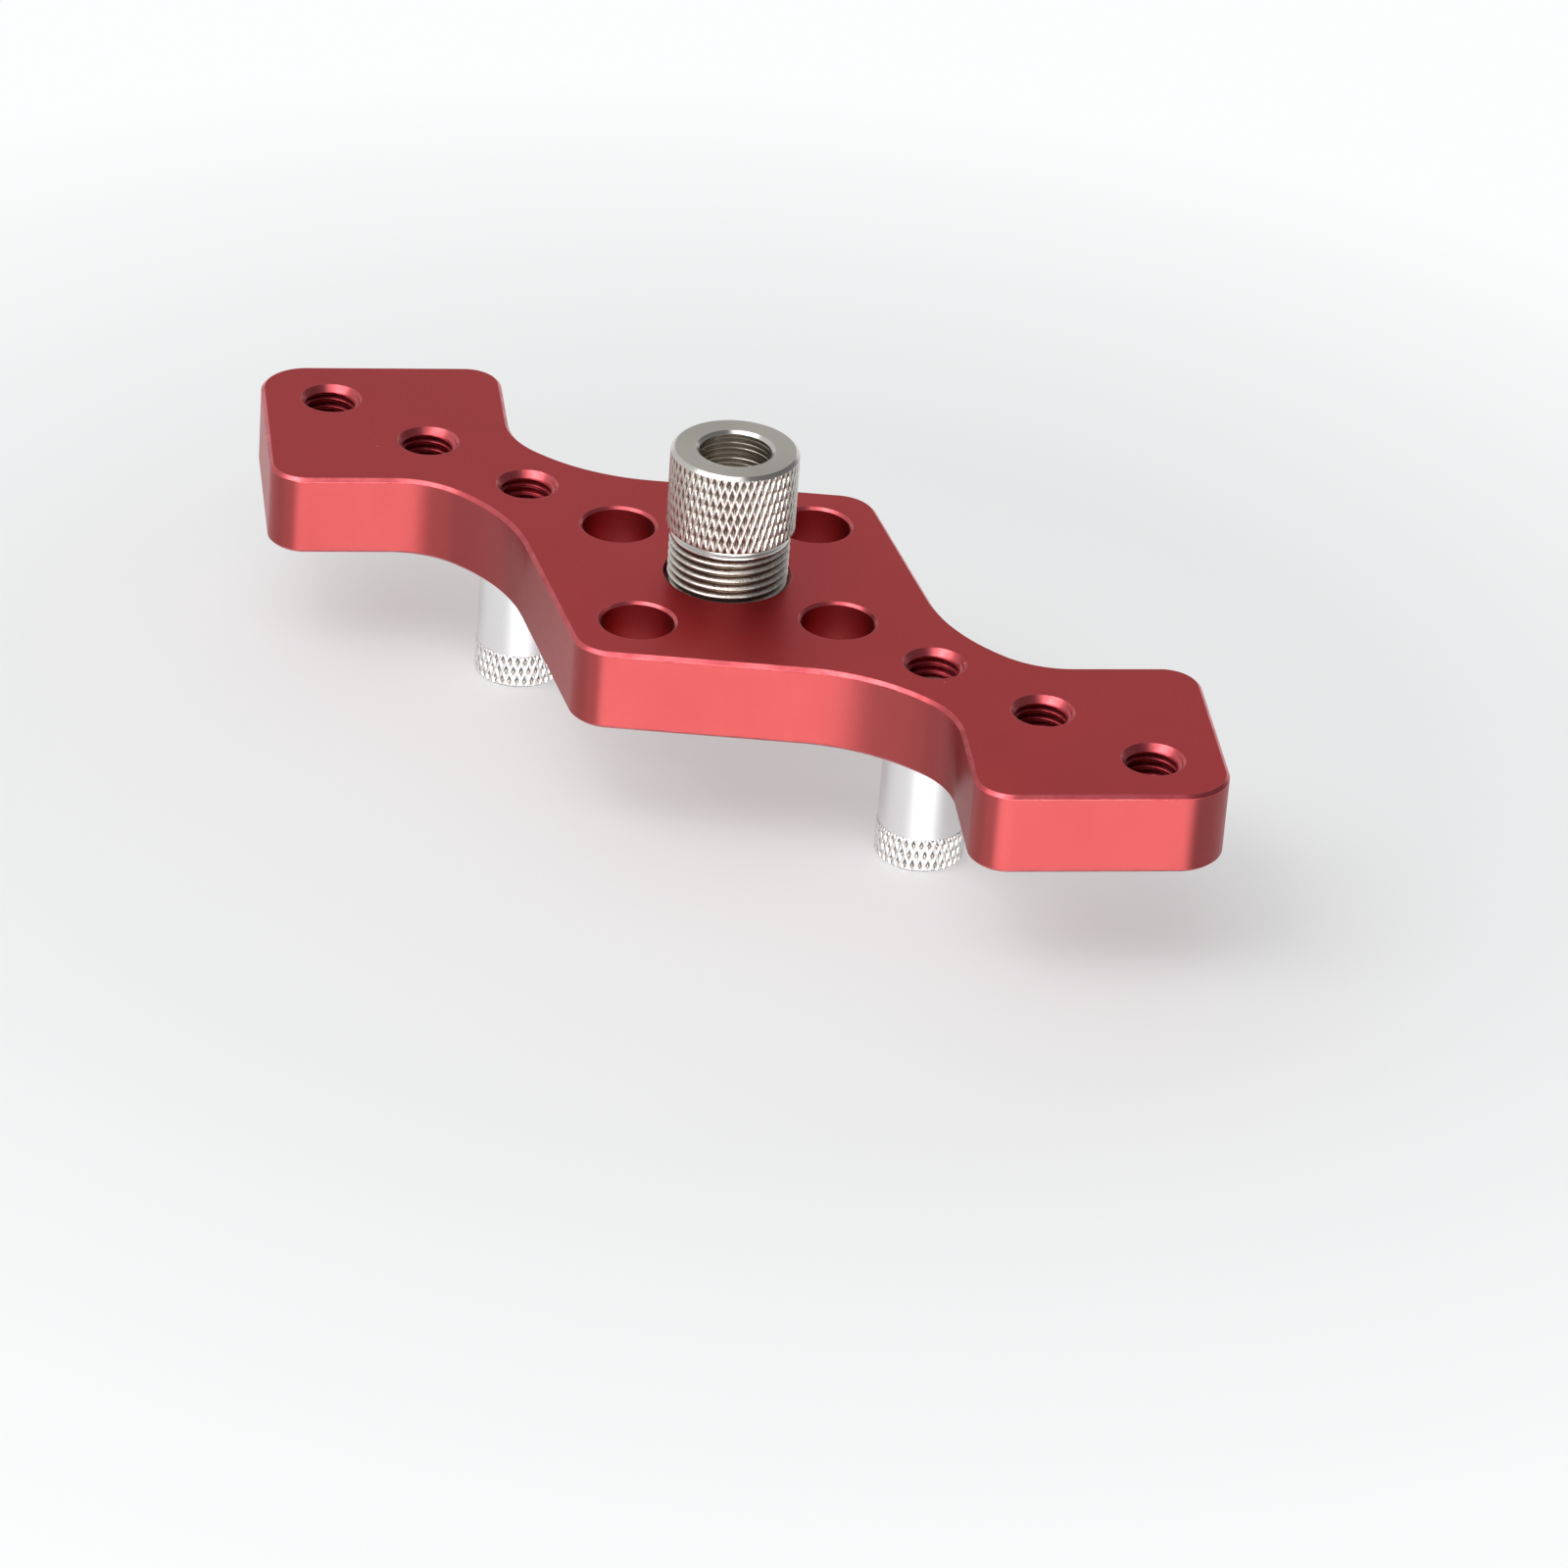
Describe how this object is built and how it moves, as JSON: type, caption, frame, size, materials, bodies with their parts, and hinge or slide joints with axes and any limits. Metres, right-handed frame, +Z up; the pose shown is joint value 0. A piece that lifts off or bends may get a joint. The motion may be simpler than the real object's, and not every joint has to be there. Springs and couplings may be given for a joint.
{
  "type": "self-centring drill guide",
  "caption": "Flat anodised plate with a screwed-in knurled drill bush and screwed-in guide posts that centre it on a board.",
  "frame": {"origin": "on the bush axis, at the height of the surface that the two guide posts stand on", "axes": "+X along the plate through the row of tapped holes, +Y across the plate, +Z up along the drill bush"},
  "size_m": [0.17, 0.0614, 0.0495],
  "materials": {
    "plate": "satin red anodised, fine matt top, bright bevels",
    "bush": "nickel-plated turned steel, diamond knurl",
    "post": "bright turned, diamond-knurled foot"
  },
  "bodies": {
    "plate": {"guide_plate": "plate"},
    "bush": {"drill_bush": "bush"},
    "post_left": {"guide_post_left": "post"},
    "post_right": {"guide_post_right": "post"}
  },
  "joints": [
    {"name": "bush_screw", "type": "slide", "parent": "plate", "child": "bush", "axis": [0, 0, 1], "range_m": [-0.0075, 0.005]},
    {"name": "post_left_screw", "type": "slide", "parent": "plate", "child": "post_left", "axis": [0, 0, 1], "range_m": [-0.01, 0]},
    {"name": "post_right_screw", "type": "slide", "parent": "plate", "child": "post_right", "axis": [0, 0, 1], "range_m": [-0.01, 0]}
  ]
}
